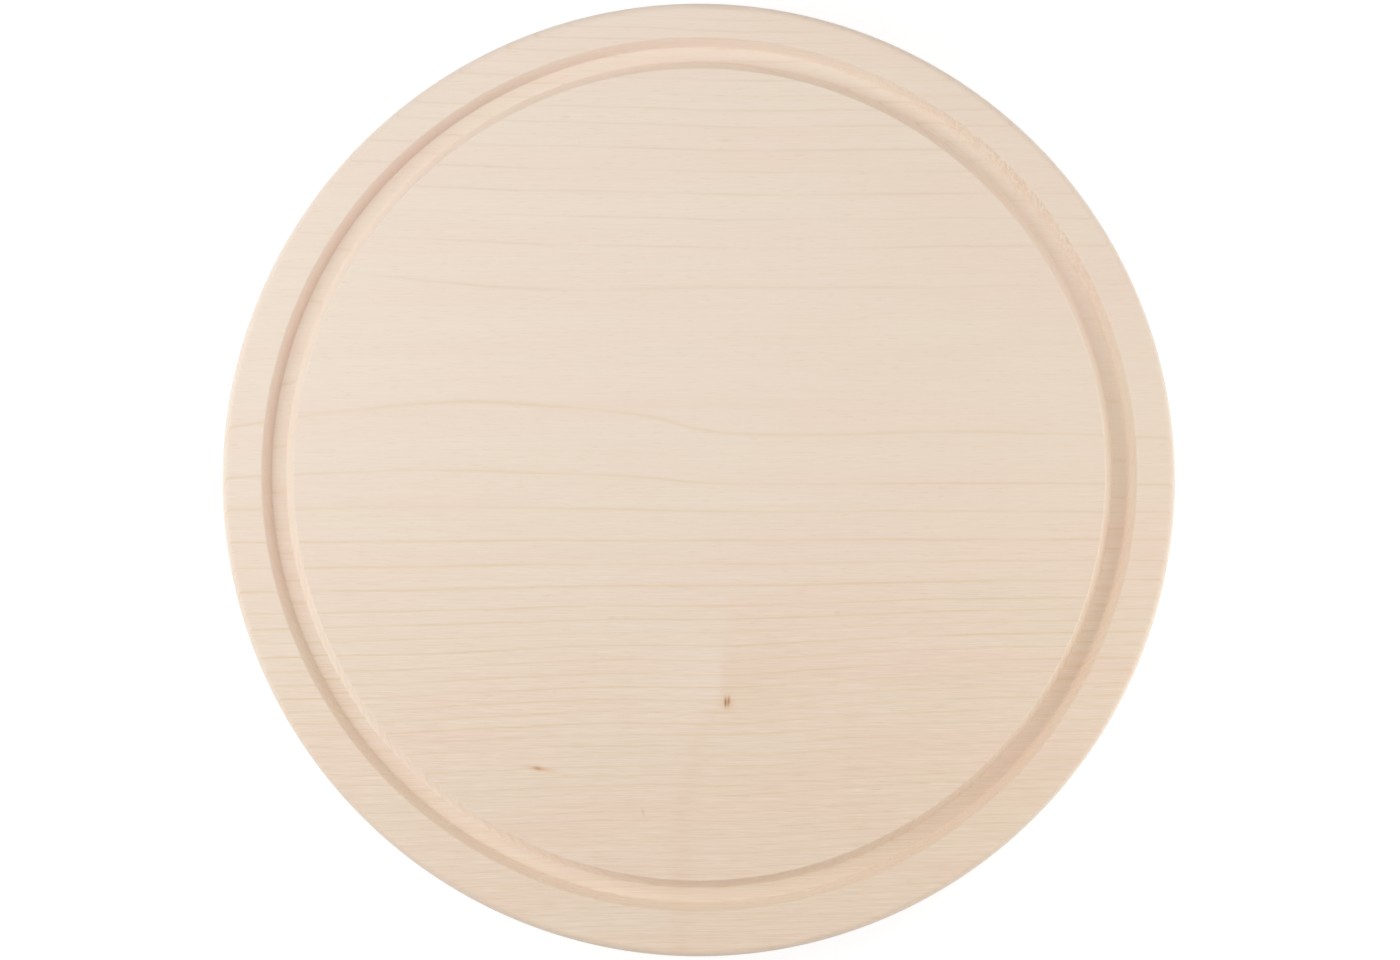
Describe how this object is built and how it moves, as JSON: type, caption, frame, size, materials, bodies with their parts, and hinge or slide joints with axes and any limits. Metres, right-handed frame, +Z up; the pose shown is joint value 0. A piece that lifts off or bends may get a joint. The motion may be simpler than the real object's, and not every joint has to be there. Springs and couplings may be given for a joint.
{
  "type": "round cutting board",
  "caption": "Flat round wooden cutting board, one solid disc with a shallow juice groove near its rim and rounded edges.",
  "frame": {"origin": "centre of the underside, in the plane that the board rests on", "axes": "+Z up through the thickness to the cutting face, +X along the grain, +Y across the grain, towards the narrower side of the rim"},
  "size_m": [0.3048, 0.3048, 0.0191],
  "materials": {
    "maple": "matte"
  },
  "bodies": {
    "root": {"cutting_board": "maple"}
  },
  "joints": []
}
